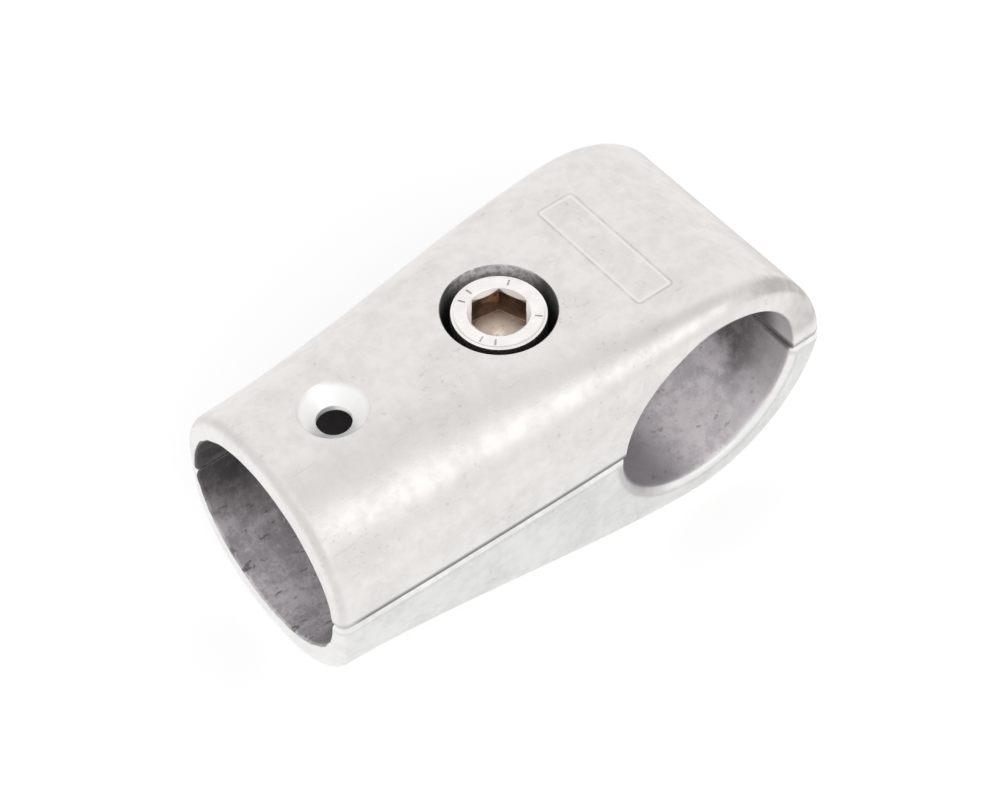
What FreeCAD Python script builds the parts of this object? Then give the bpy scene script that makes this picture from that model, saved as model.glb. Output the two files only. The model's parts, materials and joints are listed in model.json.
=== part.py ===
import FreeCAD, Part
import math
import os

from collections import namedtuple
from FreeCAD import Vector

# Tube T-connector: a cast clamp in two halves, drawn together by one cap screw and a captive nut.
# Millimetres. The origin is the middle of the cross bore, Y runs along the cross bore,
# the socket opens towards -X, and Z is up, square to the split between the two halves.

# Tubes that the connector holds
tube_diameter = 42.4
tube_clearance = 0.1

# Split between the halves
split_gap = 0.4

# Outer size of the castings
clamp_length = 52.8
front_wall = 8.4
socket_side_wall = 3.1

# Upper half, from the round socket to the square ring
cap_wall = 4.5
cap_socket_relief = 1.4
cap_ring_corner = 6.2
cap_front_corner = 3.0
cap_blend_start = 8.0
cap_blend_end = 0.0
cap_blend_softness = 0.6
cap_parting_round = 0.5
cap_mouth_round = 0.6

# Lower half, deeper under the ring than under the socket
base_socket_wall = 5.9
base_ring_wall = 6.9
base_socket_relief = 2.0
base_ring_corner = 2.2
base_front_corner = 2.2
base_blend_start = 6.0
base_blend_end = 2.4
base_blend_softness = 0.3
base_parting_round = 1.6
base_mouth_round = 1.8

# How far round each bore's mouth its edge is rolled over
mouth_sweep_angle = 75.0

# Socket for the tube that meets the cross tube
socket_depth = 40.0
socket_floor_wall = 4.1
socket_end_round = 2.5
socket_mouth_round = 0.5

# Cap screw, M12 with a hexagon socket
screw_diameter = 12.0
screw_length = 40.0
screw_tip_chamfer = 1.0
head_diameter = 18.0
head_height = 12.0
head_top_round = 0.4
head_sink = 0.85
key_width = 10.0
key_depth = 6.0
key_chamfer = 0.6
key_turn = 21.3
key_point_depth = 1.3
key_point_land = 0.2

# Holes for the screw
screw_hole_clearance = 0.5
screw_web = 3.26
head_clearance = 1.8
counterbore_edge = 0.25

# Nut in its pocket in the lower half
nut_width = 18.0
nut_height = 10.8
nut_corner_angle = 30.0
nut_mouth_chamfer = 0.8
nut_thread_clearance = 0.05
nut_pocket_clearance = 0.15
screw_past_nut = 3.4

# Countersunk hole for a lock screw in the socket's wall
lock_hole_diameter = 6.6
lock_sink_diameter = 13.4
lock_hole_from_face = 17.7

# Places worked out from the sizes above
bore_radius = tube_diameter / 2 + tube_clearance
gap_half = split_gap / 2
clamp_half = clamp_length / 2
front_x = bore_radius + front_wall
socket_half_width = bore_radius + socket_side_wall
cap_height = bore_radius + cap_wall
screw_radius = screw_diameter / 2
screw_hole_radius = screw_radius + screw_hole_clearance
head_radius = head_diameter / 2
counterbore_radius = head_radius + head_clearance
head_seat_z = cap_height - head_sink - head_height
screw_tip_z = head_seat_z - screw_length
nut_bottom_z = screw_tip_z + screw_past_nut
nut_seat_z = nut_bottom_z + nut_height
screw_x = -(bore_radius + screw_web + screw_hole_radius)
socket_floor_x = screw_x - counterbore_radius - socket_floor_wall
socket_face_x = socket_floor_x - socket_depth
lock_hole_x = socket_face_x + lock_hole_from_face

# Reach of a cutter past the casting, and the distance under which two places count as one
beyond = clamp_length
same_place = 0.01

X_AXIS = Vector(1, 0, 0)
Y_AXIS = Vector(0, 1, 0)
Z_AXIS = Vector(0, 0, 1)
ORIGIN = Vector(0, 0, 0)

HalfForm = namedtuple(
    "HalfForm",
    "socket_height ring_height socket_relief ring_corner front_corner"
    " blend_start blend_end blend_softness parting_round mouth_round",
)

cap_form = HalfForm(
    socket_height=cap_height,
    ring_height=cap_height,
    socket_relief=cap_socket_relief,
    ring_corner=cap_ring_corner,
    front_corner=cap_front_corner,
    blend_start=cap_blend_start,
    blend_end=cap_blend_end,
    blend_softness=cap_blend_softness,
    parting_round=cap_parting_round,
    mouth_round=cap_mouth_round,
)

base_form = HalfForm(
    socket_height=bore_radius + base_socket_wall,
    ring_height=bore_radius + base_ring_wall,
    socket_relief=base_socket_relief,
    ring_corner=base_ring_corner,
    front_corner=base_front_corner,
    blend_start=base_blend_start,
    blend_end=base_blend_end,
    blend_softness=base_blend_softness,
    parting_round=base_parting_round,
    mouth_round=base_mouth_round,
)


def between(first, last, share):
    """The value that lies a share of the way from first to last."""
    return first + (last - first) * share


def soft_ramp(start, end, softness, value):
    """0 before start and 1 after end, straight between them or eased by the softness."""
    straight = min(max((value - start) / (end - start), 0.0), 1.0)
    eased = straight * straight * (3 - 2 * straight)
    return between(straight, eased, softness)


def arch_wire(middle, up, half_width, foot, height, corner):
    """Closed outline of a casting's section: square feet and rounded top corners."""
    lean = corner * (1 - math.sqrt(0.5))

    def point(side, rise):
        return middle + Y_AXIS * side + up * rise

    def corner_points(sign):
        low = point(sign * half_width, height - corner)
        bulge = point(sign * (half_width - lean), height - lean)
        top = point(sign * (half_width - corner), height)
        return low, bulge, top

    near_low, near_bulge, near_top = corner_points(-1)
    far_low, far_bulge, far_top = corner_points(1)
    near_foot = point(-half_width, foot)
    far_foot = point(half_width, foot)
    edges = [
        Part.makeLine(near_foot, near_low),
        Part.Arc(near_low, near_bulge, near_top).toShape(),
        Part.makeLine(near_top, far_top),
        Part.Arc(far_top, far_bulge, far_low).toShape(),
        Part.makeLine(far_low, far_foot),
        Part.makeLine(far_foot, near_foot),
    ]
    return Part.Wire(edges)


def body_blank(form):
    """Body of one half above the split plane, from the round socket to the square ring."""
    stations = 7
    length = -socket_face_x
    sections = []
    for k in range(stations):
        along = k / (stations - 1)
        swell = math.sin(math.pi / 2 * along)
        half_width = between(socket_half_width, clamp_half, swell)
        height = between(form.socket_height, form.ring_height, swell)
        round_corner = min(half_width, height) - form.socket_relief
        square = soft_ramp(form.blend_start, length - form.blend_end, form.blend_softness, length * along)
        corner = between(round_corner, form.ring_corner, square)
        middle = Vector(between(socket_face_x, 0, along), 0, 0)
        sections.append(arch_wire(middle, Z_AXIS, half_width, 0, height, corner))
    return Part.makeLoft(sections, True, False)


def ring_end_blank(form):
    """Round end of the ring, swung about the cross bore from the top to the split plane."""
    stations = 5
    end_radius = (front_x ** 2 + form.ring_height ** 2) / (2 * form.ring_height)
    end_drop = form.ring_height - end_radius
    foot = bore_radius / 2
    sections = []
    for k in range(stations):
        along = k / (stations - 1)
        angle = math.radians(90 * (1 - along))
        reach = end_drop * math.sin(angle)
        reach += math.sqrt(end_radius ** 2 - (end_drop * math.cos(angle)) ** 2)
        corner = between(form.ring_corner, form.front_corner, along)
        up = Vector(math.cos(angle), 0, math.sin(angle))
        sections.append(arch_wire(ORIGIN, up, clamp_half, foot, reach, corner))
    return Part.makeLoft(sections, True, False)


def flared_bore(axis, start, end, mouth_round, open_both_ends):
    """Cutter for a tube bore along an axis, with its open mouths rounded outwards."""
    sweep = math.radians(mouth_sweep_angle)
    roll = mouth_round / math.sin(sweep)

    def point(along, radius):
        return axis * along + Z_AXIS * radius

    def rolled(face, inwards, angle):
        along = face + inwards * (mouth_round - roll * math.sin(angle))
        return point(along, bore_radius + roll * (1 - math.cos(angle)))

    def mouth(face, inwards):
        root = rolled(face, inwards, 0)
        lip = rolled(face, inwards, sweep)
        outside = face - inwards * mouth_round
        flare = point(outside, bore_radius + roll * (1 - math.cos(sweep)) + mouth_round * math.tan(sweep))
        edges = [
            Part.Arc(root, rolled(face, inwards, sweep / 2), lip).toShape(),
            Part.makeLine(lip, flare),
            Part.makeLine(flare, point(outside, 0)),
        ]
        return root, point(outside, 0), edges

    low_root, low_axis, edges = mouth(start, 1)
    if open_both_ends:
        high_root, high_axis, high_edges = mouth(end, -1)
        edges += high_edges
    else:
        high_root = point(end, bore_radius)
        high_axis = point(end, 0)
        edges.append(Part.makeLine(high_root, high_axis))
    edges.append(Part.makeLine(low_root, high_root))
    edges.append(Part.makeLine(high_axis, low_axis))
    outline = Part.Wire(Part.sortEdges(edges)[0])
    return Part.Face(outline).revolve(ORIGIN, axis, 360)


def on_split(edge):
    """True for an edge that lies in the split face."""
    return edge.BoundBox.ZMax < gap_half + same_place


def on_socket_face(edge):
    """True for an edge that lies in the socket's end face."""
    return edge.BoundBox.XMax < socket_face_x + same_place


def casting(form):
    """One half above the split plane, with its rounded end, parting edges and tube bores."""
    half = body_blank(form).fuse(ring_end_blank(form))
    below_corner = Vector(socket_face_x - beyond, -clamp_half - beyond, gap_half - beyond)
    below_length = front_x - socket_face_x + 2 * beyond
    below = Part.makeBox(below_length, clamp_length + 2 * beyond, beyond, below_corner)
    half = half.cut(below).Solids[0]

    end_edges = [edge for edge in half.Edges if on_socket_face(edge) and not on_split(edge)]
    end_round = min(socket_end_round, socket_side_wall - socket_mouth_round)
    half = half.makeFillet(end_round, end_edges)
    parting_edges = [edge for edge in half.Edges if on_split(edge) and not on_socket_face(edge)]
    half = half.makeFillet(form.parting_round, parting_edges)

    half = half.cut(flared_bore(Y_AXIS, -clamp_half, clamp_half, form.mouth_round, True))
    half = half.cut(flared_bore(X_AXIS, socket_face_x, socket_floor_x, socket_mouth_round, False))
    return half.Solids[0]


def hexagon(width, turn, z):
    """Hexagonal face of a width across flats about the screw axis, turned by an angle."""
    reach = width / math.sqrt(3)
    corners = []
    for k in range(7):
        angle = math.radians(turn + 30 + 60 * k)
        corners.append(Vector(screw_x + reach * math.cos(angle), reach * math.sin(angle), z))
    return Part.Face(Part.makePolygon(corners))


def upright_cylinder(x, radius, bottom, top):
    """Cylinder on an upright axis between two heights."""
    return Part.makeCylinder(radius, top - bottom, Vector(x, 0, bottom))


def upright_cone(x, low_radius, high_radius, bottom, top):
    """Cone frustum on an upright axis between two heights."""
    return Part.makeCone(low_radius, high_radius, top - bottom, Vector(x, 0, bottom))


def bevel(x, hole_radius, rim_radius, face_z, facing):
    """Cutter for a 45 degree bevel round an upright hole, in a face that looks up (1) or down (-1)."""
    depth = rim_radius - hole_radius
    bottom = Vector(x, 0, face_z - facing * depth)
    return Part.makeCone(hole_radius, rim_radius + depth, 2 * depth, bottom, Z_AXIS * facing)


def make_upper_half():
    """Cap of the clamp: screw hole with a counterbore, and the countersunk lock screw hole."""
    half = casting(cap_form)
    half = half.cut(upright_cylinder(screw_x, screw_hole_radius, -beyond, beyond))
    half = half.cut(upright_cylinder(screw_x, counterbore_radius, head_seat_z, beyond))
    edge_radius = counterbore_radius + counterbore_edge
    half = half.cut(bevel(screw_x, counterbore_radius, edge_radius, cap_height, 1))

    lock_radius = lock_hole_diameter / 2
    half = half.cut(upright_cylinder(lock_hole_x, lock_radius, 0, beyond))
    half = half.cut(bevel(lock_hole_x, lock_radius, lock_sink_diameter / 2, cap_height, 1))
    return half.Solids[0]


def make_lower_half():
    """Base of the clamp: screw hole, and a hexagonal pocket that keeps the nut from turning."""
    half = casting(base_form).mirror(ORIGIN, Z_AXIS)
    half = half.cut(upright_cylinder(screw_x, screw_hole_radius, -beyond, beyond))
    pocket = hexagon(nut_width + 2 * nut_pocket_clearance, 0, nut_seat_z)
    half = half.cut(pocket.extrude(Vector(0, 0, -beyond)))
    return half.Solids[0]


def make_clamp_screw():
    """Cap screw on its seat in the upper half, with a hexagon socket and its drilled point in the head."""
    head_top = head_seat_z + head_height
    key_floor = head_top - key_depth
    shank_bottom = screw_tip_z + screw_tip_chamfer
    head = upright_cylinder(screw_x, head_radius, head_seat_z, head_top)
    top_edges = [edge for edge in head.Edges if edge.BoundBox.ZMin > head_top - same_place]
    head = head.makeFillet(head_top_round, top_edges)
    shank = upright_cylinder(screw_x, screw_radius, shank_bottom, head_seat_z)
    point = upright_cone(screw_x, screw_radius - screw_tip_chamfer, screw_radius, screw_tip_z, shank_bottom)
    screw = head.fuse(shank).fuse(point)

    key = hexagon(key_width, key_turn, key_floor).extrude(Vector(0, 0, key_depth))
    key_reach = key_width / math.sqrt(3)
    entry = bevel(screw_x, key_reach - key_chamfer, key_reach, head_top, 1)
    drilled = upright_cone(screw_x, 0, key_width / 2 - key_point_land, key_floor - key_point_depth, key_floor)
    return screw.cut(key).cut(entry).cut(drilled).removeSplitter().Solids[0]


def make_hex_nut():
    """Hexagon nut on the floor of its pocket, with turned corners and a bevelled thread mouth."""
    corner_reach = nut_width / math.sqrt(3)
    flat_reach = nut_width / 2
    rise = (corner_reach - flat_reach) * math.tan(math.radians(nut_corner_angle))
    turned = upright_cylinder(screw_x, corner_reach, nut_bottom_z + rise, nut_seat_z - rise)
    turned = turned.fuse(upright_cone(screw_x, flat_reach, corner_reach, nut_bottom_z, nut_bottom_z + rise))
    turned = turned.fuse(upright_cone(screw_x, corner_reach, flat_reach, nut_seat_z - rise, nut_seat_z))
    nut = hexagon(nut_width, 0, nut_seat_z).extrude(Vector(0, 0, -nut_height)).common(turned)

    bore = screw_radius + nut_thread_clearance
    mouth = bore + nut_mouth_chamfer
    nut = nut.cut(upright_cylinder(screw_x, bore, nut_bottom_z, nut_seat_z))
    nut = nut.cut(bevel(screw_x, bore, mouth, nut_seat_z, 1))
    nut = nut.cut(bevel(screw_x, bore, mouth, nut_bottom_z, -1))
    return nut.removeSplitter().Solids[0]


nodes = {
    "upper_half": make_upper_half(),
    "lower_half": make_lower_half(),
    "clamp_screw": make_clamp_screw(),
    "hex_nut": make_hex_nut(),
}
os.makedirs("parts", exist_ok=True)
for name, shape in nodes.items():
    shape.exportStep("parts/" + name + ".step")
    print(name, shape.ShapeType, shape.isValid(), round(shape.Volume, 1), shape.BoundBox)
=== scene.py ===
# Looks of a two-part cast tube connector: castings, cap screw, captive nut, studio floor, lights and camera.
import bmesh
import bpy
import json
import math
from mathutils import Matrix, Vector


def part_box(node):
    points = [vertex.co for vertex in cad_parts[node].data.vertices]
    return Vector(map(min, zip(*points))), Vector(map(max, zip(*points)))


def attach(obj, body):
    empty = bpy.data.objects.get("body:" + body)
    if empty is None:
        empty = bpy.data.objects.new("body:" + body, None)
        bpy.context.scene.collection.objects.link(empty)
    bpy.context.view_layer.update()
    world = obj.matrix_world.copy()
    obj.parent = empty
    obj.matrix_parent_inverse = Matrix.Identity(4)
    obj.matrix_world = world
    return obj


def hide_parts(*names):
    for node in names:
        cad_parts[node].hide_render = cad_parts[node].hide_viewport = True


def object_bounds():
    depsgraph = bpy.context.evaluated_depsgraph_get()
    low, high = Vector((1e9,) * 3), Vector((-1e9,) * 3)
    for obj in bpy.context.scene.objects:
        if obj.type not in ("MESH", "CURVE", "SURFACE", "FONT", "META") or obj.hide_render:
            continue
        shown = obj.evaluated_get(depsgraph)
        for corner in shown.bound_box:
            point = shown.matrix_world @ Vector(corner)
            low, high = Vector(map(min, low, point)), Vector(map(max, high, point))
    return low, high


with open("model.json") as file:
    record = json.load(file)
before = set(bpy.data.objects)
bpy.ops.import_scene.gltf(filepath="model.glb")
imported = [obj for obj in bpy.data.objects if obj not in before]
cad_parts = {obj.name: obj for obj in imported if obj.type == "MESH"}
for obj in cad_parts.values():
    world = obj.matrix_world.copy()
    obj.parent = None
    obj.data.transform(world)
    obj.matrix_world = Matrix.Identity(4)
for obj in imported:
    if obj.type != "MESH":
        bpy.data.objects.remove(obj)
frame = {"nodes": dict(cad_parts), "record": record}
cad_low, cad_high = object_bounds()

# Places and sizes of the castings, in metres from the middle of the cross bore
mounts = {mount["name"]: mount for mount in frame["record"]["mounts"]}
bore_radius = mounts["cross_tube"]["dims"]["r_mm"] / 1000
lock_hole_place = Vector(mounts["lock_screw_hole"]["pos_m"])
socket_face_x = cad_low.x
socket_depth = 0.040
socket_floor_x = socket_face_x + socket_depth
lock_sink_radius = 0.0068
counterbore_radius = 0.0109
panel_middle = Vector((-0.0063, -0.0004))
panel_reach = Vector((0.0042, 0.0147))
panel_corner = 0.0008

# Places and sizes of the clamp screw
screw_low, screw_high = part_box("clamp_screw")
screw_x = (screw_low.x + screw_high.x) / 2
head_radius = (screw_high.x - screw_low.x) / 2
head_top_z = screw_high.z
screw_tip_z = screw_low.z
head_height = 0.012
head_land_radius = 0.0082
head_fall = 0.00010
head_round = 0.00025
head_seat_z = head_top_z - head_height
head_segments = 120
rim_steps = 5
key_width = 0.010
key_depth = 0.006
key_floor_z = head_top_z - key_depth
key_reach = key_width / math.sqrt(3)
key_turn = math.radians(51.3)
key_side_angle = math.radians(60)
key_entry_radius = key_reach + 0.0001
key_entry_slope = math.radians(45)
key_point_radius = 0.0048
key_point_depth = 0.0013
key_point_share = 0.95
neck_radius = 0.006
neck_length = 0.0022
tip_chamfer = 0.001
sharp_angle = math.radians(28)

# Thread of the clamp screw
thread_pitch = 0.00175
thread_crest = 0.00593
thread_root = 0.00492
thread_root_end = thread_pitch * 4 / 16
thread_crest_start = thread_pitch * 9 / 16
thread_crest_end = thread_pitch * 11 / 16
thread_turn_steps = 48
thread_lead_turns = 2
merge_distance = 1e-6

# Stamped ticks on the screw's head
tick_inner = 0.0066
tick_outer = 0.0080
tick_depth = 0.00012
tick_slope = 0.00004
tick_angles = (-156.0, -135.0, -47.0, 101.0, 122.0, 39.0)

# Camera of the photograph
camera_place = Vector((-0.18968, -0.19684, 0.31514))
camera_turn = math.radians(-38.926)
camera_tilt = math.radians(38.554)
camera_roll = math.radians(0.296)
camera_lens = 75.98
camera_sensor = 36
camera_near = 0.01


# Meshes

def new_piece(name, bm, material, body):
    """Makes an object of a finished bmesh, smooth but for its sharp edges, and lets it ride on a body."""
    mesh = bpy.data.meshes.new(name)
    bm.to_mesh(mesh)
    bm.free()
    mesh.shade_smooth()
    mesh.set_sharp_from_angle(angle=sharp_angle)
    mesh.materials.append(material)
    piece = bpy.data.objects.new(name, mesh)
    bpy.context.scene.collection.objects.link(piece)
    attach(piece, body)
    return piece


def grow_ring(bm, ring, radius, height):
    """Extrudes a ring of edges to a radius and a height, each a number or a function of the angle."""
    grown = bmesh.ops.extrude_edge_only(bm, edges=ring)["geom"]
    verts = [part for part in grown if isinstance(part, bmesh.types.BMVert)]
    for vert in verts:
        angle = math.atan2(vert.co.y, vert.co.x)
        reach = radius(angle) if callable(radius) else radius
        level = height(angle) if callable(height) else height
        vert.co = Vector((reach * math.cos(angle), reach * math.sin(angle), level))
    fresh = set(verts)
    return [part for part in grown if isinstance(part, bmesh.types.BMEdge) and fresh.issuperset(part.verts)]


def key_wall_radius(angle):
    """Distance from the axis to the wall of the hexagon socket."""
    from_flat = (angle - key_turn) % key_side_angle - key_side_angle / 2
    return key_width / 2 / math.cos(from_flat)


def key_entry_height(angle):
    """Height at which the bevelled entry meets the wall of the hexagon socket."""
    return head_top_z - (key_entry_radius - key_wall_radius(angle)) * math.tan(key_entry_slope)


def faces_angle(face, angle):
    """True for the one face of a ring that a direction from the axis passes through."""
    middle = face.calc_center_median()
    away = abs((math.atan2(middle.y, middle.x) - angle + math.pi) % (2 * math.pi) - math.pi)
    return away <= math.pi / head_segments


def screw_head():
    """Cap screw's head and neck: rounded rim, bevelled hexagon socket and stamped ticks."""
    bm = bmesh.new()
    bmesh.ops.create_circle(bm, cap_ends=False, radius=key_entry_radius, segments=head_segments,
                            matrix=Matrix.Translation((0, 0, head_top_z)))
    entry = list(bm.edges)

    # Down into the hexagon socket and its drilled point
    point_end_radius = key_point_radius * (1 - key_point_share)
    point_end_z = key_floor_z - key_point_depth * key_point_share
    ring = grow_ring(bm, entry, key_wall_radius, key_entry_height)
    ring = grow_ring(bm, ring, key_wall_radius, key_floor_z)
    ring = grow_ring(bm, ring, key_point_radius, key_floor_z)
    ring = grow_ring(bm, ring, point_end_radius, point_end_z)
    bmesh.ops.edgeloop_fill(bm, edges=ring)

    # Out over the rim, down the side and in to the neck
    ring = grow_ring(bm, entry, tick_inner, head_top_z)
    before = set(bm.faces)
    ring = grow_ring(bm, ring, tick_outer, head_top_z)
    tick_faces = [face for face in bm.faces if face not in before]
    ring = grow_ring(bm, ring, head_land_radius, head_top_z)
    rim_z = head_top_z - head_fall
    ring = grow_ring(bm, ring, head_radius - head_round, rim_z)
    for step in range(1, rim_steps + 1):
        turn = math.radians(90) * step / rim_steps
        radius = head_radius - head_round * (1 - math.sin(turn))
        ring = grow_ring(bm, ring, radius, rim_z - head_round * (1 - math.cos(turn)))
    ring = grow_ring(bm, ring, head_radius, head_seat_z + head_round)
    ring = grow_ring(bm, ring, head_radius - head_round, head_seat_z)
    ring = grow_ring(bm, ring, neck_radius, head_seat_z)
    ring = grow_ring(bm, ring, neck_radius, head_seat_z - neck_length)
    bmesh.ops.edgeloop_fill(bm, edges=ring)

    # Ticks pressed into the top
    bmesh.ops.recalc_face_normals(bm, faces=bm.faces)
    angles = [math.radians(tick) for tick in tick_angles]
    pressed = [face for face in tick_faces if any(faces_angle(face, angle) for angle in angles)]
    bmesh.ops.inset_individual(bm, faces=pressed, thickness=tick_slope, depth=-tick_depth)
    return bm


def screw_thread():
    """Right-hand thread from the neck to the chamfered tip, as one helical spin cut off at both ends."""
    bm = bmesh.new()
    profile = (
        (thread_root, 0),
        (thread_root, thread_root_end),
        (thread_crest, thread_crest_start),
        (thread_crest, thread_crest_end),
        (thread_root, thread_pitch),
    )
    start_z = screw_tip_z - thread_lead_turns * thread_pitch
    verts = [bm.verts.new((radius, 0, start_z + height)) for radius, height in profile]
    edges = [bm.edges.new(pair) for pair in zip(verts, verts[1:])]
    top_z = head_seat_z - neck_length / 2
    turns = math.ceil((top_z - start_z) / thread_pitch) + 1
    bmesh.ops.spin(bm, geom=verts + edges, cent=(0, 0, 0), axis=(0, 0, 1), angle=2 * math.pi * turns,
                   dvec=(0, 0, thread_pitch / thread_turn_steps), steps=turns * thread_turn_steps,
                   use_merge=False)
    bmesh.ops.remove_doubles(bm, verts=bm.verts, dist=merge_distance)
    for level, up in ((screw_tip_z, -1), (top_z, 1)):
        everything = list(bm.verts) + list(bm.edges) + list(bm.faces)
        bmesh.ops.bisect_plane(bm, geom=everything, plane_co=(0, 0, level), plane_no=(0, 0, up),
                               clear_outer=True)
    for vert in bm.verts:
        limit = thread_crest - max(0, tip_chamfer - (vert.co.z - screw_tip_z))
        reach = math.hypot(vert.co.x, vert.co.y)
        if reach > limit:
            vert.co.xy = vert.co.xy * (limit / reach)
    bmesh.ops.holes_fill(bm, edges=[edge for edge in bm.edges if edge.is_boundary], sides=0)
    bmesh.ops.recalc_face_normals(bm, faces=bm.faces)
    return bm


def clamp_screw(material):
    """Threaded cap screw in place of its plain solid."""
    bm = screw_head()
    thread = screw_thread()
    thread_mesh = bpy.data.meshes.new("thread")
    thread.to_mesh(thread_mesh)
    thread.free()
    bm.from_mesh(thread_mesh)
    bpy.data.meshes.remove(thread_mesh)
    bmesh.ops.translate(bm, verts=bm.verts, vec=(screw_x, 0, 0))
    screw = new_piece("threaded_clamp_screw", bm, material, "clamp_screw")
    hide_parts("clamp_screw")


# Shader nodes

def add_node(tree, kind, inputs=None, **settings):
    """Adds a node, sets its options, and links or fills its inputs."""
    node = tree.nodes.new(kind)
    for name, value in settings.items():
        setattr(node, name, value)
    for name, value in (inputs or {}).items():
        if isinstance(value, bpy.types.NodeSocket):
            tree.links.new(value, node.inputs[name])
        else:
            node.inputs[name].default_value = value
    return node


def math_node(tree, operation, first, second=0.0):
    """Result of a sum, product or other operation on two values."""
    return add_node(tree, "ShaderNodeMath", {0: first, 1: second}, operation=operation).outputs[0]


def inverse(tree, mask):
    """1 minus a mask."""
    return math_node(tree, "SUBTRACT", 1.0, mask)


def add_values(tree, *parts):
    """Sum of values, each with its weight."""
    total = 0.0
    for value, weight in parts:
        terms = {0: value, 1: weight, 2: total}
        total = add_node(tree, "ShaderNodeMath", terms, operation="MULTIPLY_ADD").outputs[0]
    return total


def product(tree, first, *others):
    """Product of masks and values."""
    for other in others:
        first = math_node(tree, "MULTIPLY", first, other)
    return first


def ramp(tree, value, start, end, low=0.0, high=1.0):
    """Smooth step of a value from low at start to high at end."""
    settings = {"Value": value, "From Min": start, "From Max": end, "To Min": low, "To Max": high}
    return add_node(tree, "ShaderNodeMapRange", settings, interpolation_type="SMOOTHSTEP").outputs["Result"]


def fall(tree, value, start, end):
    """Smooth step of a value from 1 at start to 0 at end."""
    return ramp(tree, value, start, end, 1.0, 0.0)


def between(tree, mask, low, high):
    """Smooth step from low where a mask is 0 to high where it is 1."""
    return ramp(tree, mask, 0.0, 1.0, low, high)


def band(tree, value, start, full, drop, end):
    """Mask of a range of values that rises from start to full and falls from drop to end."""
    return product(tree, ramp(tree, value, start, full), fall(tree, value, drop, end))


def blend_colour(tree, share, first, second):
    """Mix of two colours by a mask."""
    return add_node(tree, "ShaderNodeMix", {0: share, 6: first, 7: second}, data_type="RGBA").outputs[2]


def noise(tree, place, feature, detail=3.0, roughness=0.55):
    """Cloudy noise with lumps of about a given size in metres."""
    settings = {"Vector": place, "Scale": 1 / feature, "Detail": detail, "Roughness": roughness}
    return add_node(tree, "ShaderNodeTexNoise", settings).outputs["Fac"]


def streaks(tree, place, turn, scale, detail, roughness):
    """Noise stretched by a scale for each axis, after a turn."""
    stretch = {"Vector": place, "Rotation": turn, "Scale": scale}
    stretched = add_node(tree, "ShaderNodeMapping", stretch).outputs["Vector"]
    return noise(tree, stretched, 1.0, detail, roughness)


def new_group(name, inputs, outputs):
    """Empty node group with named sockets, and its input and output nodes."""
    tree = bpy.data.node_groups.new(name, "ShaderNodeTree")
    for socket, kind in inputs:
        tree.interface.new_socket(socket, in_out="INPUT", socket_type="NodeSocket" + kind)
    for socket, kind in outputs:
        tree.interface.new_socket(socket, in_out="OUTPUT", socket_type="NodeSocket" + kind)
    return tree, tree.nodes.new("NodeGroupInput").outputs, tree.nodes.new("NodeGroupOutput").inputs


def place_group(tree, group, inputs):
    """Places a node group in a tree and returns its outputs."""
    return add_node(tree, "ShaderNodeGroup", inputs, node_tree=group).outputs


def hollow_group():
    """Mask of what lies within a radius of an axis, fading out past it."""
    sockets = (
        ("Place", "Vector"),
        ("Axis Point", "Vector"),
        ("Across", "Vector"),
        ("Radius", "Float"),
        ("Fade", "Float"),
    )
    tree, given, result = new_group("hollow", sockets, (("Mask", "Float"),))
    kind = "ShaderNodeVectorMath"
    offset = add_node(tree, kind, {0: given["Place"], 1: given["Axis Point"]}, operation="SUBTRACT")
    across = add_node(tree, kind, {0: offset.outputs[0], 1: given["Across"]}, operation="MULTIPLY")
    reach = add_node(tree, kind, {0: across.outputs[0]}, operation="LENGTH").outputs["Value"]
    end = math_node(tree, "ADD", given["Radius"], given["Fade"])
    tree.links.new(fall(tree, reach, given["Radius"], end), result["Mask"])
    return tree


def hollow_mask(tree, hollow, place, axis_point, across, radius, fade):
    """Mask of a round hollow about an axis through a point."""
    inputs = {"Place": place, "Axis Point": axis_point, "Across": across, "Radius": radius, "Fade": fade}
    return place_group(tree, hollow, inputs)["Mask"]


def new_material(name):
    """Material with a Principled shader, and its tree, shader and object coordinates."""
    material = bpy.data.materials.new(name)
    material.use_nodes = True
    tree = material.node_tree
    shader = tree.nodes["Principled BSDF"]
    place = add_node(tree, "ShaderNodeTexCoord").outputs["Object"]
    return material, tree, shader, place


def split_axes(tree, place):
    """The coordinates of a place along the part, across it and up."""
    return add_node(tree, "ShaderNodeSeparateXYZ", {0: place}).outputs


def from_screw(tree, axes, direction):
    """Distance from the screw's axis in a level direction."""
    reach = add_values(tree, (axes["X"], direction[0]), (axes["Y"], direction[1]))
    return math_node(tree, "SUBTRACT", reach, screw_x * direction[0])


def from_face(*distances):
    """Places along the part, given as distances from the socket's face."""
    return [socket_face_x + distance for distance in distances]


# Finish of the castings. Each noise has a lump size, detail and roughness, each pair of tones a light and a
# dark one. Lengths, widths and heights are where a mark begins and ends along, across and up the part.
origin = (0, 0, 0)
across_cross_bore = (1, 0, 1)
across_socket = (0, 1, 1)
across_screw = (1, 1, 0)
well_far = (0.55, 0.835)
well_near = (-0.55, -0.835)
key_far = (0.63, 0.78)
key_right = (0.78, -0.63)

# Tumbled skin
skin_wide_noise = (0.012, 3.0, 0.6)
skin_close_noise = (0.0026, 4.0, 0.65)
skin_fine_noise = (0.0004, 2.0)
cloud_range = (0.38, 0.62)
pit_noise = (0.0011, 3.0, 0.6)
pit_patch_range = (0.46, 0.62)
pit_patch_gain = 0.14
pit_range = (0.70, 0.86)
scratch_lean = (0.4, 0.3)
scratch_turns = (35, -50)
scratch_scale = (90, 1500, 900)
scratch_noise = (1.0, 0.55)
scratch_range = (0.72, 0.80)
fine_grain = 0.4
close_grain = 0.3
pit_grain = -0.3


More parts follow.
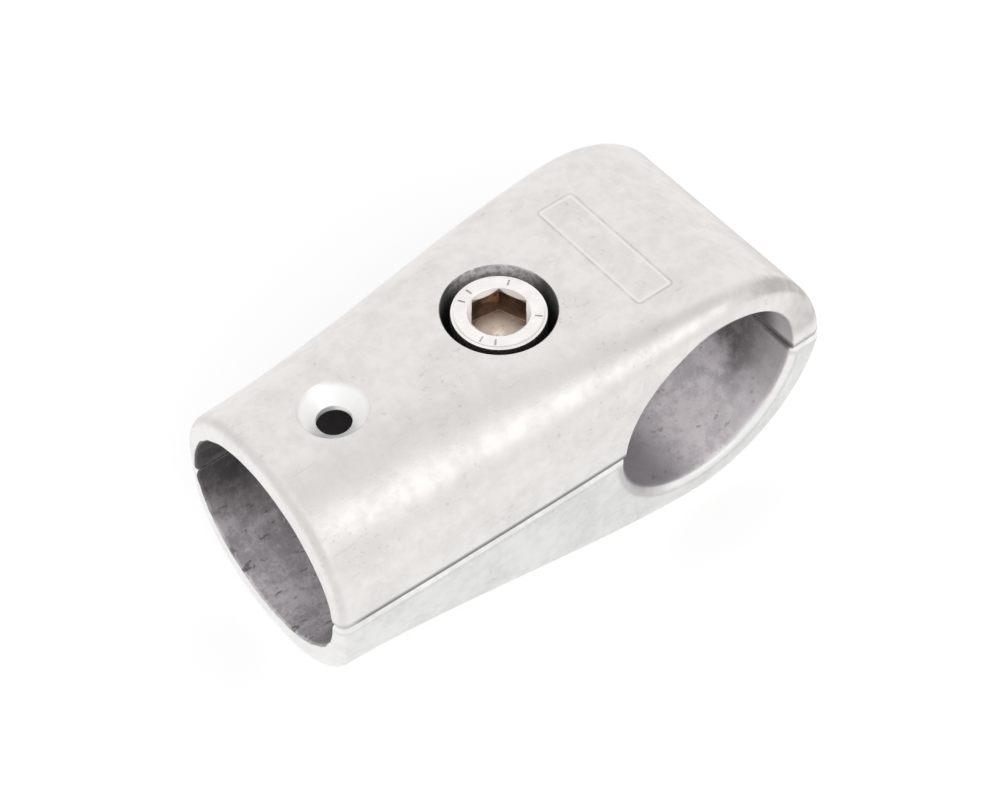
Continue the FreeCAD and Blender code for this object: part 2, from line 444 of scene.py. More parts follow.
def tumbled_group():
    """Skin of a tumbled casting: cloudy tone, dark pits, thin scratches and a grainy height."""
    outputs = (("Cloud", "Float"), ("Pits", "Float"), ("Scratches", "Float"), ("Grain", "Float"))
    tree, given, result = new_group("tumbled_skin", (("Place", "Vector"),), outputs)
    place = given["Place"]
    wide = noise(tree, place, *skin_wide_noise)
    close = noise(tree, place, *skin_close_noise)
    cloud = add_values(tree, (wide, 0.5), (close, 0.5))
    tree.links.new(ramp(tree, cloud, *cloud_range), result["Cloud"])

    # Pits stand in patches
    spots = noise(tree, place, *pit_noise)
    patches = ramp(tree, wide, *pit_patch_range, 0.0, pit_patch_gain)
    pits = ramp(tree, math_node(tree, "ADD", spots, patches), *pit_range)
    tree.links.new(pits, result["Pits"])

    # Scratches run in two directions
    lines = []
    for degrees in scratch_turns:
        turn = (*scratch_lean, math.radians(degrees))
        lines.append(ramp(tree, streaks(tree, place, turn, scratch_scale, *scratch_noise), *scratch_range))
    tree.links.new(math_node(tree, "MAXIMUM", *lines), result["Scratches"])

    fine = noise(tree, place, *skin_fine_noise)
    grain = add_values(tree, (fine, fine_grain), (close, close_grain), (pits, pit_grain))
    tree.links.new(grain, result["Grain"])
    return tree


# Outside of the castings
top_tones = ((0.84, 0.81, 0.79, 1), (0.77, 0.74, 0.72, 1))
flank_tones = ((0.84, 0.84, 0.825, 1), (0.765, 0.765, 0.75, 1))
flank_heights = (-0.010, 0.016)
base_tones = ((0.80, 0.80, 0.785, 1), (0.725, 0.725, 0.71, 1))
base_heights = (-0.003, 0.0)
pit_grey = (0.46, 0.44, 0.425, 1)
pit_share = 0.40
scratch_grey = (0.58, 0.56, 0.545, 1)
scratch_share = 0.25

# Painted dark reflections along the ring's edge and on its front, mottled by the cloud
painted_reflection_grey = (0.47, 0.45, 0.435, 1)
painted_reflection_cloud_shares = (0.75, 1.0)
edge_slant = 0.12
edge_line_widths = (-0.0244, -0.0232, -0.0226, -0.0210)
edge_line_lengths = (-0.024, -0.004, 0.004, 0.012)
edge_line_share = 0.25
edge_patch_widths = (-0.0256, -0.0247, -0.0232, -0.0212)
edge_patch_lengths = (-0.002, 0.018)
edge_patch_heights = (0.008, 0.013)
edge_patch_share = 0.95
ring_front_lengths = (0.014, 0.024)
ring_front_heights = (0.0025, 0.0065, 0.012, 0.022)
ring_front_share = 0.65

# Bare panel on the ring's top: a sunk step, with a painted highlight along its inside and a painted shade
# line along its outside
panel_highlight_pale = (0.93, 0.905, 0.89, 1)
panel_shade_grey = (0.52, 0.50, 0.485, 1)
panel_heights = (0.0235, 0.0245)
panel_cloud_shares = (0.3, 0.6)
panel_inner_line = (-0.0009, -0.0006, -0.0004, -0.0001)
panel_outer_line = (-0.0003, 0.0, 0.0001, 0.0004)
panel_slope = (-0.0006, 0.0)
panel_grain = -0.6

# Socket's face and countersink, with painted shade on the face's rounding and a pale rim that is partly a
# painted highlight
sink_pale = (0.95, 0.945, 0.94, 1)
sink_edge = 0.0012
sink_fade = 0.0010
sink_heights = (bore_radius - 0.0001, bore_radius)
upper_heights = (-0.004, 0.006)
rounding_shade_grey = (0.60, 0.585, 0.58, 1)
rounding_lengths = from_face(0.0003, 0.0008, 0.0011, 0.0022)
rounding_share = 0.45
rim_pale = (0.90, 0.89, 0.885, 1)
low_rim_lengths = from_face(0.0004, 0.0022)
high_rim_lengths = from_face(0.0001, 0.0005)
high_rim_share = 0.7
rim_widths = (-0.0260, -0.0220)
rim_width_shares = (0.1, 1.0)
rim_cloud_shares = (1.0, 0.75)

# Ring's rolled lower mouth, with a painted highlight on its lip, a painted shade line and painted shade at
# its end towards the socket
mouth_heights = (-0.003, -0.0015)
mouth_end_shade_grey = (0.36, 0.335, 0.35, 1)
rolled_lengths = (-0.018, -0.006)
rolled_fade = 0.0030
rolled_share = 0.8
lip_highlight_pale = (0.96, 0.945, 0.945, 1)
lip_margin = 0.0008
lip_fade = 0.0006
lip_shares = (0.5, 0.0)
lip_line_shade_grey = (0.52, 0.505, 0.50, 1)
lip_line_outer = 0.0018
lip_line_inner = 0.0012
lip_line_fade = 0.0005
lip_line_share = 0.35


def panel_distance(tree, axes):
    """Distance outwards from the outline of the bare panel on the ring's top, which has rounded corners."""
    sides = []
    for axis, middle, reach in zip("XY", panel_middle, panel_reach):
        away = math_node(tree, "ABSOLUTE", math_node(tree, "SUBTRACT", axes[axis], middle))
        sides.append(math_node(tree, "SUBTRACT", away, reach - panel_corner))
    past = [math_node(tree, "MAXIMUM", side, 0.0) for side in sides]
    squares = [math_node(tree, "MULTIPLY", side, side) for side in past]
    corner = math_node(tree, "SQRT", math_node(tree, "ADD", *squares))
    inside = math_node(tree, "MINIMUM", math_node(tree, "MAXIMUM", *sides), 0.0)
    return math_node(tree, "SUBTRACT", math_node(tree, "ADD", corner, inside), panel_corner)


def tumbled_colour(tree, axes, skin):
    """Cloudy grey, warm on top and cooler low down, with pits, scratches and painted dark reflections on the
    ring.
    """
    along, across, height = axes
    flank = fall(tree, height, *flank_heights)
    base = fall(tree, height, *base_heights)
    tones = []
    for top_tone, flank_tone, base_tone in zip(top_tones, flank_tones, base_tones):
        tone = blend_colour(tree, flank, top_tone, flank_tone)
        tones.append(blend_colour(tree, base, tone, base_tone))
    colour = blend_colour(tree, skin["Cloud"], *tones)

    # A painted dark reflection runs as a line along the ring's edge and grows into a patch; another lies on
    # the ring's front
    slant = add_values(tree, (along, edge_slant), (across, 1.0))
    line = product(tree, band(tree, slant, *edge_line_widths), band(tree, along, *edge_line_lengths),
                   edge_line_share)
    patch = product(tree, band(tree, across, *edge_patch_widths),
                    ramp(tree, along, *edge_patch_lengths, 0.0, edge_patch_share),
                    ramp(tree, height, *edge_patch_heights))
    front = product(tree, ramp(tree, along, *ring_front_lengths), band(tree, height, *ring_front_heights),
                    ring_front_share)
    dimmed = math_node(tree, "MAXIMUM", front, math_node(tree, "MAXIMUM", line, patch))
    dimmed = product(tree, dimmed, between(tree, skin["Cloud"], *painted_reflection_cloud_shares))
    colour = blend_colour(tree, dimmed, colour, painted_reflection_grey)
    colour = blend_colour(tree, product(tree, skin["Pits"], pit_share), colour, pit_grey)
    return blend_colour(tree, product(tree, skin["Scratches"], scratch_share), colour, scratch_grey)


def edges_colour(tree, axes, skin, sink, colour):
    """Adds the bare panel's outline as a painted highlight and a painted shade line, the countersink and the
    edges of the socket's face to a colour.
    """
    along, across, height = axes
    from_panel = panel_distance(tree, axes)
    # The step round the panel: a pale painted highlight inside and a grey painted shade line outside,
    # mottled by the cloud
    step_light_and_shade = between(tree, skin["Cloud"], *panel_cloud_shares)
    step_light_and_shade = product(tree, ramp(tree, height, *panel_heights), step_light_and_shade)
    inner_line = product(tree, band(tree, from_panel, *panel_inner_line), step_light_and_shade)
    colour = blend_colour(tree, inner_line, colour, panel_highlight_pale)
    outer_line = product(tree, band(tree, from_panel, *panel_outer_line), step_light_and_shade)
    colour = blend_colour(tree, outer_line, colour, panel_shade_grey)
    colour = blend_colour(tree, sink, colour, sink_pale)

    # Painted shade on the upper half's rounding; the face's pale rim, partly its own paler colour and partly
    # a painted highlight, is wide on the lower half and narrow on the upper one
    upper = ramp(tree, height, *upper_heights)
    rounding = product(tree, upper, band(tree, along, *rounding_lengths), rounding_share)
    colour = blend_colour(tree, rounding, colour, rounding_shade_grey)
    low_rim = fall(tree, along, *low_rim_lengths)
    high_rim = fall(tree, along, *high_rim_lengths)
    rim = add_values(tree, (low_rim, 1.0), (product(tree, upper, low_rim), -1.0),
                     (product(tree, upper, high_rim), high_rim_share))
    rim = product(tree, rim, ramp(tree, across, *rim_widths, *rim_width_shares))
    rim = product(tree, rim, between(tree, skin["Cloud"], *rim_cloud_shares))
    return blend_colour(tree, rim, colour, rim_pale)


def mouth_colour(tree, place, axes, hollow, colour):
    """Adds the ring's rolled lower mouth to a colour: a painted highlight on the lip, a faint painted shade
    line and grey painted shade at its end towards the socket.
    """
    def near_bore(margin, fade):
        return hollow_mask(tree, hollow, place, origin, across_cross_bore, bore_radius + margin, fade)

    # Painted highlight on the lip, a painted shade line outside it and painted shade at the end towards the
    # socket
    low = fall(tree, axes["Z"], *mouth_heights)
    rolled = fall(tree, axes["X"], *rolled_lengths)
    lip = product(tree, near_bore(lip_margin, lip_fade), low, between(tree, rolled, *lip_shares))
    colour = blend_colour(tree, lip, colour, lip_highlight_pale)
    line = math_node(tree, "SUBTRACT", near_bore(lip_line_outer, lip_line_fade),
                     near_bore(lip_line_inner, lip_line_fade))
    colour = blend_colour(tree, product(tree, line, low, lip_line_share), colour, lip_line_shade_grey)
    shaded_end = product(tree, near_bore(0.0, rolled_fade), low, rolled, rolled_share)
    return blend_colour(tree, shaded_end, colour, mouth_end_shade_grey)


# Bores, with painted shade up the walls, deep in the socket and on the cross bore's socket side, and painted
# light near the cross bore's mouths
broad_noise = (0.009, 4.0, 0.6)
close_noise = (0.0022, 3.0, 0.6)
grain_noise = (0.0007, 3.0, 0.65)
broad_weight = 0.40
close_weight = 0.33
grain_weight = 0.27
blotch_range = (0.42, 0.58)
wall_waver = 0.012
low_bore_tones = ((0.98, 0.92, 0.95, 1), (0.76, 0.71, 0.74, 1))
high_bore_shade_tones = ((0.34, 0.317, 0.33, 1), (0.20, 0.187, 0.195, 1))
bore_wall_heights = (-0.012, -0.002)
bore_shade = (0.27, 0.248, 0.265, 1)
bore_shade_lengths = (-0.010, 0.005)
bore_shade_share = 0.85
near_mouth_light_pale = (0.86, 0.815, 0.835, 1)
near_mouth_widths = (-0.024, -0.013)
near_mouth_lengths = (0.004, 0.014)
near_mouth_heights = (-0.0016, -0.0006)
near_mouth_share = 0.6
upper_bore_shade = (0.13, 0.12, 0.126, 1)
upper_bore_heights = (-0.0005, 0.0015)
upper_bore_share = 0.65
upper_mouth_light_pale = (0.92, 0.89, 0.90, 1)
upper_mouth_widths = (-0.0235, -0.0175)
upper_mouth_lengths = (0.008, 0.016)
upper_mouth_heights = (0.0005, 0.0020)
upper_mouth_share = 0.85
low_socket_tones = ((0.82, 0.765, 0.795, 1), (0.55, 0.51, 0.535, 1))
high_socket_shade_tones = ((0.15, 0.138, 0.146, 1), (0.09, 0.083, 0.087, 1))
socket_wall_heights = (-0.016, 0.003)
deep_socket_shade = (0.12, 0.112, 0.116, 1)
deep_socket_lengths = (-0.071, -0.056)
deep_socket_share = 0.8
fleck_dark = (0.15, 0.138, 0.142, 1)
fleck_turn = (0, 0, math.radians(25))
fleck_scale = (300, 620, 620)
fleck_noise = (4.0, 0.68)
fleck_patch_noise = (0.006, 2.0)
fleck_patch_range = (0.42, 0.62)
fleck_patch_gain = 0.07
fleck_socket_gain = 0.025
fleck_range = (0.65, 0.73)
fleck_socket_shares = (0.45, 0.85)


def bore_colour(tree, place, axes, socket):
    """Colour of the bores: purple grey with blotches and flecks, painted shade up the walls and deep down,
    and painted light near the mouths.
    """
    along, across, height = axes
    broad = noise(tree, place, *broad_noise)
    close = noise(tree, place, *close_noise)
    grains = noise(tree, place, *grain_noise)
    blotches = add_values(tree, (broad, broad_weight), (close, close_weight), (grains, grain_weight))
    blotches = ramp(tree, blotches, *blotch_range)
    up_wall = add_values(tree, (height, 1.0), (broad, wall_waver))

    # Cross bore: painted shade up its walls, on its socket side and on its upper half, and painted light at
    # its near mouth and upper mouth
    low_bore = blend_colour(tree, blotches, *low_bore_tones)
    high_bore = blend_colour(tree, blotches, *high_bore_shade_tones)
    bore = blend_colour(tree, ramp(tree, up_wall, *bore_wall_heights), low_bore, high_bore)
    shaded = ramp(tree, along, *bore_shade_lengths, bore_shade_share, 0.0)
    bore = blend_colour(tree, shaded, bore, bore_shade)
    near_mouth = product(tree, fall(tree, across, *near_mouth_widths),
                         ramp(tree, along, *near_mouth_lengths),
                         fall(tree, height, *near_mouth_heights), near_mouth_share)
    bore = blend_colour(tree, near_mouth, bore, near_mouth_light_pale)
    upper = ramp(tree, height, *upper_bore_heights, 0.0, upper_bore_share)
    bore = blend_colour(tree, upper, bore, upper_bore_shade)
    upper_mouth = product(tree, fall(tree, across, *upper_mouth_widths),
                          ramp(tree, along, *upper_mouth_lengths),
                          ramp(tree, height, *upper_mouth_heights), upper_mouth_share)
    bore = blend_colour(tree, upper_mouth, bore, upper_mouth_light_pale)

    # Socket, with painted shade up its walls and deep inside
    low_tube = blend_colour(tree, blotches, *low_socket_tones)
    high_tube = blend_colour(tree, blotches, *high_socket_shade_tones)
    tube = blend_colour(tree, ramp(tree, up_wall, *socket_wall_heights), low_tube, high_tube)
    deep = ramp(tree, along, *deep_socket_lengths, 0.0, deep_socket_share)
    tube = blend_colour(tree, deep, tube, deep_socket_shade)
    colour = blend_colour(tree, socket, bore, tube)

    # Flecks stand in patches
    flecks = streaks(tree, place, fleck_turn, fleck_scale, *fleck_noise)
    patches = noise(tree, place, *fleck_patch_noise)
    patches = ramp(tree, patches, *fleck_patch_range, 0.0, fleck_patch_gain)
    flecks = add_values(tree, (flecks, 1.0), (patches, 1.0), (socket, fleck_socket_gain))
    flecks = product(tree, ramp(tree, flecks, *fleck_range), between(tree, socket, *fleck_socket_shares))
    return blend_colour(tree, flecks, colour, fleck_dark)


# Edges of the bores, the screw well's painted light and shade, and the split's painted shade and painted
# highlight
bore_skin = 0.00005
cross_fade = 0.0003
socket_fade = 0.0002
socket_end_lengths = (socket_floor_x + 0.0001, socket_floor_x + 0.0002)
ragged_noise = (0.0036, 2.0)
ragged_range = (0.35, 0.65)
ragged_depths = (0.00015, 0.00035)
ragged_lengths = from_face(0.001, 0.003)
well_lit_tones = ((0.66, 0.645, 0.64, 1), (0.36, 0.35, 0.345, 1))
well_shade_dark = (0.05, 0.048, 0.046, 1)
well_fade = 0.0001
well_floor_heights = (head_seat_z - 0.0010, head_seat_z - 0.0005)
well_noise = (0.0012, 4.0, 0.7)
well_speckle_range = (0.40, 0.60)
well_far_reach = (0.0055, 0.0103)
well_far_shares = (0.08, 1.0)
well_heights = (cad_high.z - 0.0060, cad_high.z - 0.0025)
split_highlight_pale = (0.97, 0.965, 0.95, 1)
split_highlight_heights = (-0.0017, -0.0011, -0.0007, -0.0006)
split_highlight_share = 0.7
split_highlight_cloud_shares = (1.0, 0.35)
split_highlight_lengths = from_face(0.002, 0.012)
split_highlight_length_shares = (0.3, 1.0)
crease_shade_grey = (0.55, 0.545, 0.53, 1)
crease_heights = (-0.0027, -0.0020, -0.0018, -0.0014)
crease_share = 0.3
split_shade_dark = (0.22, 0.213, 0.207, 1)
split_heights = (-0.00076, -0.00060, 0.00050, 0.00180)
split_face_lengths = from_face(0.001, 0.006)
split_face_shares = (0.3, 0.9)
split_bore_shares = (1.0, 0.5)
split_ring_lengths = (0.010, 0.020)
split_ring_shares = (1.0, 0.6)
mating_heights = (0.00016, 0.00018, 0.00022, 0.00024)
mating_widths = (0.0215, 0.0240)
mating_lengths = (0.0245, 0.0270)
mating_shares = (1.0, 0.2)

# Shine of the castings
hollow_dullness = 0.8
sink_dullness = 0.5
cast_roughness = (0.35, 0.42)
hollow_roughness = 0.12
split_roughness = 0.2
well_roughness = 0.3
cast_bump_strength = 0.4
cast_bump_depth = 0.00015


def well_colour(tree, place, axes):
    """Colour of the screw well: speckled grey painted as light high on its far wall, and dark painted shade
    elsewhere.
    """
    speckle = ramp(tree, noise(tree, place, *well_noise), *well_speckle_range)
    pale = blend_colour(tree, speckle, *well_lit_tones)
    far_wall = ramp(tree, from_screw(tree, axes, well_far), *well_far_reach, *well_far_shares)
    lit = product(tree, ramp(tree, axes["Z"], *well_heights), far_wall)
    return blend_colour(tree, lit, well_shade_dark, pale)


def split_shade_mask(tree, axes, cross):
    """Mask of the painted shade in the split, fainter near the socket's face, in the cross bore and on the
    mating faces.
    """
    along, across, height = axes
    split = band(tree, height, *split_heights)
    split = product(tree, split, ramp(tree, along, *split_face_lengths, *split_face_shares))
    split = product(tree, split, between(tree, cross, *split_bore_shares),
                    ramp(tree, along, *split_ring_lengths, *split_ring_shares))
    mating = band(tree, math_node(tree, "ABSOLUTE", height), *mating_heights)
    mating = product(tree, mating, fall(tree, math_node(tree, "ABSOLUTE", across), *mating_widths),
                     fall(tree, along, *mating_lengths))
    return product(tree, split, between(tree, mating, *mating_shares))


def cast_aluminium(hollow, tumbled):
    """Tumbled raw casting with matte bores, painted shade and light in the bores and screw well, painted
    shade in the split, and a pale countersink.
    """
    material, tree, shader, place = new_material("cast_aluminium_looks")
    skin = place_group(tree, tumbled, {"Place": place})
    axes = split_axes(tree, place)
    along = axes["X"]
    height = axes["Z"]

    # Bores, with a ragged edge at the socket's mouth
    edge = bore_radius + bore_skin
    cross = hollow_mask(tree, hollow, place, origin, across_cross_bore, edge, cross_fade)
    ragged = ramp(tree, noise(tree, place, *ragged_noise), *ragged_range, *ragged_depths)
    ragged = product(tree, ragged, fall(tree, along, *ragged_lengths))
    ragged = math_node(tree, "ADD", ragged, edge)
    tube = hollow_mask(tree, hollow, place, origin, across_socket, ragged, socket_fade)
    socket = product(tree, tube, fall(tree, along, *socket_end_lengths))
    hollows = math_node(tree, "MAXIMUM", cross, socket)
    not_bore = fall(tree, hollows, 0.0, 1.0)

    # Countersink and screw well
    sink_radius = lock_sink_radius - sink_edge
    sink = hollow_mask(tree, hollow, place, lock_hole_place, across_screw, sink_radius, sink_fade)
    sink = product(tree, sink, ramp(tree, height, *sink_heights))
    well = hollow_mask(tree, hollow, place, (screw_x, 0, 0), across_screw, counterbore_radius, well_fade)
    well = product(tree, well, ramp(tree, height, *well_floor_heights), not_bore)
    colour = tumbled_colour(tree, axes, skin)
    colour = edges_colour(tree, axes, skin, sink, colour)
    colour = mouth_colour(tree, place, axes, hollow, colour)
    colour = blend_colour(tree, hollows, colour, bore_colour(tree, place, axes, socket))
    colour = blend_colour(tree, well, colour, well_colour(tree, place, axes))

    # Painted shade in the split between the halves, with a painted highlight on the lower half's rounded
    # edge under it and a painted shade line where that rounding meets the side
    split_highlight = product(tree, band(tree, height, *split_highlight_heights), not_bore, split_highlight_share)
    split_highlight = product(tree, split_highlight, between(tree, skin["Cloud"], *split_highlight_cloud_shares))
    split_highlight = product(tree, split_highlight, ramp(tree, along, *split_highlight_lengths, *split_highlight_length_shares))
    colour = blend_colour(tree, split_highlight, colour, split_highlight_pale)
    crease = product(tree, band(tree, height, *crease_heights), not_bore, crease_share)
    colour = blend_colour(tree, crease, colour, crease_shade_grey)
    split = split_shade_mask(tree, axes, cross)
    colour = blend_colour(tree, split, colour, split_shade_dark)
    tree.links.new(colour, shader.inputs["Base Color"])

    # Shine and grain
    dimmed = add_values(tree, (well, 1.0), (hollows, hollow_dullness), (sink, sink_dullness))
    tree.links.new(fall(tree, dimmed, 0.0, 1.0), shader.inputs["Metallic"])
    roughness = between(tree, skin["Cloud"], *cast_roughness)
    roughness = add_values(tree, (roughness, 1.0), (hollows, hollow_roughness), (split, split_roughness),
                           (well, well_roughness))
    tree.links.new(roughness, shader.inputs["Roughness"])
    sunk = fall(tree, panel_distance(tree, axes), *panel_slope)
    sunk = product(tree, sunk, ramp(tree, height, *panel_heights))
    grain = add_values(tree, (skin["Grain"], 1.0), (sunk, panel_grain))
    relief = {"Height": grain, "Strength": cast_bump_strength, "Distance": cast_bump_depth}
    bump = add_node(tree, "ShaderNodeBump", relief)
    tree.links.new(bump.outputs["Normal"], shader.inputs["Normal"])
    return material


# Finish of the screw and the nut
head_tones = ((0.97, 0.94, 0.92, 1), (0.90, 0.87, 0.85, 1))
head_heights = (head_seat_z, head_seat_z + 0.0005)
top_heights = (head_top_z - 0.0003, head_top_z - 0.0002)
shank_tones = ((0.68, 0.665, 0.64, 1), (0.60, 0.585, 0.56, 1))
steel_fade = 0.0001
smudge_noise = (0.003, 4.0, 0.6)
smudge_range = (0.35, 0.65)
tick_grey = (0.44, 0.415, 0.40, 1)
tick_heights = (head_top_z - 0.00007, head_top_z - 0.00003)
tick_key_margin = 0.0003
tick_smudge_shares = (0.65, 1.0)
# Painted shade line where the head's flat top turns down to its rounded rim
rim_line_shade_grey = (0.45, 0.43, 0.42, 1)
rim_line_inner = head_radius - 0.00085
rim_line_outer = head_radius - 0.0006
rim_line_fade = 0.0002
rim_line_reach = (-0.002, 0.005)
rim_line_near_shares = (0.15, 1.0)
rim_line_share = 0.6

# Key socket, with a painted glint on its far wall
key_wall_tones = ((0.14, 0.078, 0.05, 1), (0.06, 0.034, 0.024, 1))
key_wall_heights = (head_top_z - 0.0010, head_top_z - 0.0007)
key_floor_tones = ((1.0, 0.90, 0.80, 1), (0.88, 0.75, 0.64, 1))
key_floor_heights = (key_floor_z + 0.00001, key_floor_z + 0.00003)
key_far_reach = (0.0022, 0.0034)
crumb_brown = (0.36, 0.28, 0.235, 1)
crumb_noise = (0.0010, 3.0, 0.65)
crumb_range = (0.58, 0.70)
crumb_share = 0.5
glint_brown = (0.50, 0.31, 0.17, 1)
glint_reach = (-0.0042, -0.0012, -0.0002, 0.0001)
glint_heights = (key_floor_z + 0.0016, key_floor_z + 0.0034)
glint_noise = (0.0016, 3.0, 0.6)
glint_range = (0.34, 0.60)
entry_grey = (0.66, 0.60, 0.56, 1)
entry_heights = (head_top_z - 0.00006, head_top_z - 0.00001)
entry_metal_shares = (1.0, 0.25)

# Shine of the screw and the nut
steel_roughness = (0.20, 0.30)
key_floor_roughness = -0.06
entry_roughness = 0.15
scuff_noise = (0.0004, 2.0)
steel_bump_strength = 0.15
steel_bump_depth = 0.00005


def stainless_steel(hollow):
    """Bright turned steel with a brown key socket, its pale floor and dark stamped ticks."""
    material, tree, shader, place = new_material("stainless_steel_looks")
    axes = split_axes(tree, place)
    height = axes["Z"]

    def within(radius, fade=steel_fade):
        return hollow_mask(tree, hollow, place, (screw_x, 0, 0), across_screw, radius, fade)

    in_head = ramp(tree, height, *head_heights)
    on_top = ramp(tree, height, *top_heights)
    key = product(tree, within(key_reach), in_head)
    walls = product(tree, key, fall(tree, height, *key_wall_heights))
    floor = product(tree, key, fall(tree, height, *key_floor_heights))
    entry = product(tree, key, fall(tree, height, *entry_heights))
    smudges = ramp(tree, noise(tree, place, *smudge_noise), *smudge_range)

    # Ticks lie a little below the top, and a faint painted shade line runs round inside the rim, strongest
    # on the near side
    outside_key = inverse(tree, within(key_reach + tick_key_margin))
    ticks = product(tree, fall(tree, height, *tick_heights), on_top, outside_key, within(tick_outer))
    ticks = product(tree, ticks, between(tree, smudges, *tick_smudge_shares))
    outside_line = inverse(tree, within(rim_line_inner, rim_line_fade))
    near_side = ramp(tree, from_screw(tree, axes, well_near), *rim_line_reach, *rim_line_near_shares)
    inside_line = within(rim_line_outer, rim_line_fade)
    line = product(tree, outside_line, inside_line, on_top, near_side, rim_line_share)

    # The key socket's far wall carries a painted glint high up, left of its middle
    far_side = ramp(tree, from_screw(tree, axes, key_far), *key_far_reach)
    glint = product(tree, band(tree, from_screw(tree, axes, key_right), *glint_reach), far_side)
    glint = product(tree, glint, ramp(tree, height, *glint_heights))
    glint = product(tree, glint, ramp(tree, noise(tree, place, *glint_noise), *glint_range))
    key_wall = blend_colour(tree, smudges, *key_wall_tones)
    key_wall = blend_colour(tree, glint, key_wall, glint_brown)
    key_floor = blend_colour(tree, smudges, *key_floor_tones)
    crumbs = ramp(tree, noise(tree, place, *crumb_noise), *crumb_range, 0.0, crumb_share)
    key_floor = blend_colour(tree, crumbs, key_floor, crumb_brown)

    head = blend_colour(tree, smudges, *head_tones)
    shank = blend_colour(tree, smudges, *shank_tones)
    colour = blend_colour(tree, in_head, shank, head)
    colour = blend_colour(tree, line, colour, rim_line_shade_grey)
    colour = blend_colour(tree, ticks, colour, tick_grey)
    colour = blend_colour(tree, product(tree, entry, far_side), colour, entry_grey)
    colour = blend_colour(tree, walls, colour, key_wall)
    colour = blend_colour(tree, floor, colour, key_floor)
    tree.links.new(colour, shader.inputs["Base Color"])

    # Shine and scuffs
    dull_entry = product(tree, entry, inverse(tree, far_side), inverse(tree, walls))
    tree.links.new(between(tree, dull_entry, *entry_metal_shares), shader.inputs["Metallic"])
    roughness = between(tree, smudges, *steel_roughness)
    roughness = add_values(tree, (roughness, 1.0), (floor, key_floor_roughness), (entry, entry_roughness))
    tree.links.new(roughness, shader.inputs["Roughness"])
    scuffs = noise(tree, place, *scuff_noise)
    relief = {"Height": scuffs, "Strength": steel_bump_strength, "Distance": steel_bump_depth}
    bump = add_node(tree, "ShaderNodeBump", relief)
    tree.links.new(bump.outputs["Normal"], shader.inputs["Normal"])
    return material


# Stage
white = (1, 1, 1, 1)
floor_grey = (0.5, 0.5, 0.5, 1)
floor_roughness = 0.9
floor_glow = 0.60
floor_size = 4.0
studio_strengths = (0.75, 1.0)
overhead_zone = {"middle": (0.36, -0.26, 0.90), "inner": 8, "outer": 30}
overhead_grey = 0.20
below_lamp_zone = {"middle": (0.26, -0.96, 0.04), "inner": 8, "outer": 26}
below_lamp_grey = 0.16


def seen_directly(tree):
    """1 for rays from the camera, from metal and from glass, and 0 for the light that reaches surfaces."""
    path = tree.nodes.new("ShaderNodeLightPath").outputs
    seen = math_node(tree, "MAXIMUM", path["Is Camera Ray"], path["Is Glossy Ray"])
    return math_node(tree, "MAXIMUM", seen, path["Is Transmission Ray"])


def white_floor():
    """Pale floor that looks white and keeps the soft shadow."""
    material = bpy.data.materials.new("pale_floor")
    material.use_nodes = True
    tree = material.node_tree
    shader = tree.nodes["Principled BSDF"]
    shader.inputs["Base Color"].default_value = floor_grey
    shader.inputs["Roughness"].default_value = floor_roughness
    shader.inputs["Specular IOR Level"].default_value = 0.0
    shader.inputs["Emission Color"].default_value = white
    glow = math_node(tree, "MULTIPLY", seen_directly(tree), floor_glow)
    tree.links.new(glow, shader.inputs["Emission Strength"])
    bm = bmesh.new()
    under_part = Matrix.Translation((0, 0, cad_low.z))
    bmesh.ops.create_grid(bm, x_segments=1, y_segments=1, size=floor_size, matrix=under_part)
    mesh = bpy.data.meshes.new("floor")
    bm.to_mesh(mesh)
    bm.free()
    mesh.materials.append(material)
    floor = bpy.data.objects.new("floor", mesh)
    bpy.context.scene.collection.objects.link(floor)


def grey_zone(tree, direction, middle, inner, outer):
    """1 within an inner angle of a direction of the studio, in degrees, fading to 0 at the outer angle."""
    aims = {0: direction, 1: Vector(middle).normalized()}
    aim = add_node(tree, "ShaderNodeVectorMath", aims, operation="DOT_PRODUCT").outputs["Value"]
    return ramp(tree, aim, math.cos(math.radians(outer)), math.cos(math.radians(inner)))


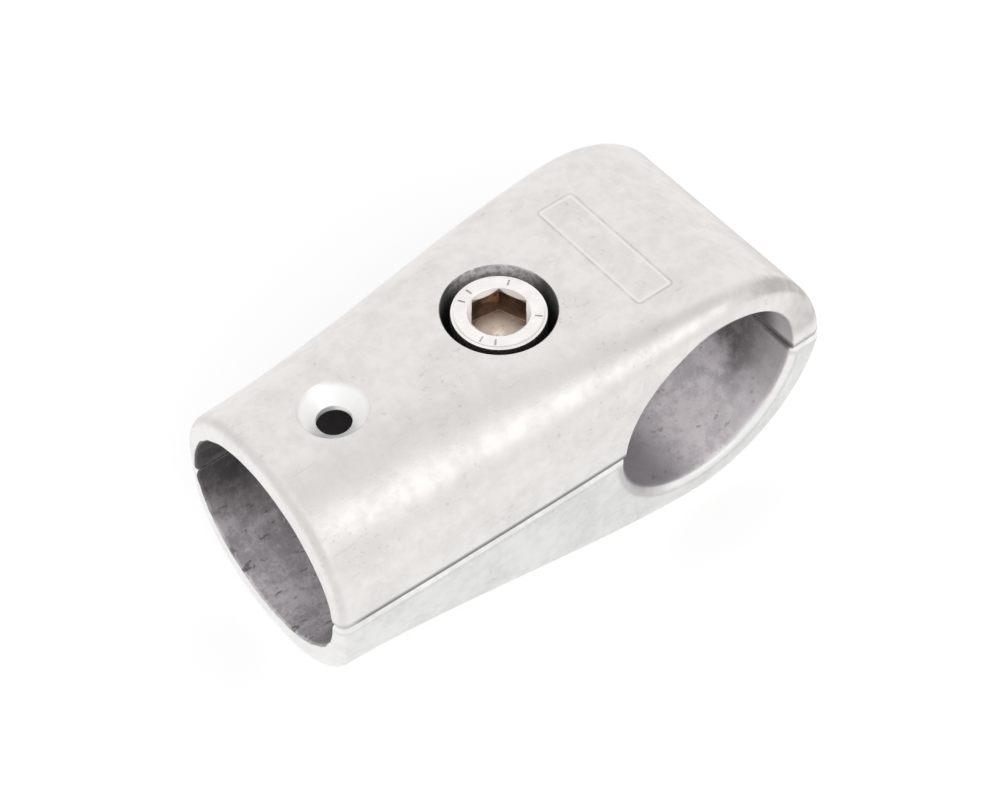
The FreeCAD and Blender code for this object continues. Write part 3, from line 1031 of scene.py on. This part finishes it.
def white_world():
    """White studio, greyer above and below the lamp in reflections, and dimmer as a light."""
    world = bpy.data.worlds.new("studio")
    world.use_nodes = True
    tree = world.node_tree
    background = tree.nodes["Background"]
    background.inputs["Color"].default_value = white
    direction = add_node(tree, "ShaderNodeTexCoord").outputs["Generated"]
    overhead = grey_zone(tree, direction, **overhead_zone)
    below_lamp = grey_zone(tree, direction, **below_lamp_zone)
    unseen = inverse(tree, tree.nodes.new("ShaderNodeLightPath").outputs["Is Camera Ray"])
    grey = add_values(tree, (overhead, overhead_grey), (below_lamp, below_lamp_grey))
    strength = between(tree, seen_directly(tree), *studio_strengths)
    strength = math_node(tree, "SUBTRACT", strength, product(tree, grey, unseen))
    tree.links.new(strength, background.inputs["Strength"])
    bpy.context.scene.world = world


def softbox(name, azimuth, elevation, distance, width, height, power, mirrored):
    """Rectangular lamp that looks at the part from a compass direction and a height in degrees."""
    lamp = bpy.data.lights.new(name, "AREA")
    lamp.shape = "RECTANGLE"
    lamp.size = width
    lamp.size_y = height
    lamp.energy = power
    turn = math.radians(azimuth)
    rise = math.radians(elevation)
    away = Vector((math.cos(turn) * math.cos(rise), math.sin(turn) * math.cos(rise), math.sin(rise)))
    middle = (cad_low + cad_high) / 2
    aim = away.to_track_quat("Z", "Y").to_matrix().to_4x4()
    holder = bpy.data.objects.new(name, lamp)
    holder.matrix_world = Matrix.Translation(middle + away * distance) @ aim
    holder.visible_glossy = mirrored
    bpy.context.scene.collection.objects.link(holder)


def photo_camera():
    """Camera at the photograph's angle."""
    data = bpy.data.cameras.new("camera")
    data.sensor_fit = "HORIZONTAL"
    data.sensor_width = camera_sensor
    data.lens = camera_lens
    data.clip_start = camera_near
    camera = bpy.data.objects.new("camera", data)
    aim = Matrix.Rotation(camera_turn, 4, "Z") @ Matrix.Rotation(camera_tilt, 4, "X")
    aim = aim @ Matrix.Rotation(camera_roll, 4, "Z")
    camera.matrix_world = Matrix.Translation(camera_place) @ aim
    bpy.context.scene.collection.objects.link(camera)
    bpy.context.scene.camera = camera


hollow_nodes = hollow_group()
casting_looks = cast_aluminium(hollow_nodes, tumbled_group())
steel_looks = stainless_steel(hollow_nodes)
for name in ("upper_half", "lower_half"):
    frame["nodes"][name].material_slots[0].material = casting_looks
frame["nodes"]["hex_nut"].material_slots[0].material = steel_looks
clamp_screw(steel_looks)

white_floor()
white_world()
softbox("near_softbox", azimuth=-78, elevation=34, distance=0.9, width=0.80, height=0.36, power=0.44,
        mirrored=True)
softbox("fill_softbox", azimuth=-115, elevation=42, distance=1.0, width=0.80, height=0.80, power=3.0,
        mirrored=False)
photo_camera()
bpy.context.scene.view_settings.view_transform = "Standard"
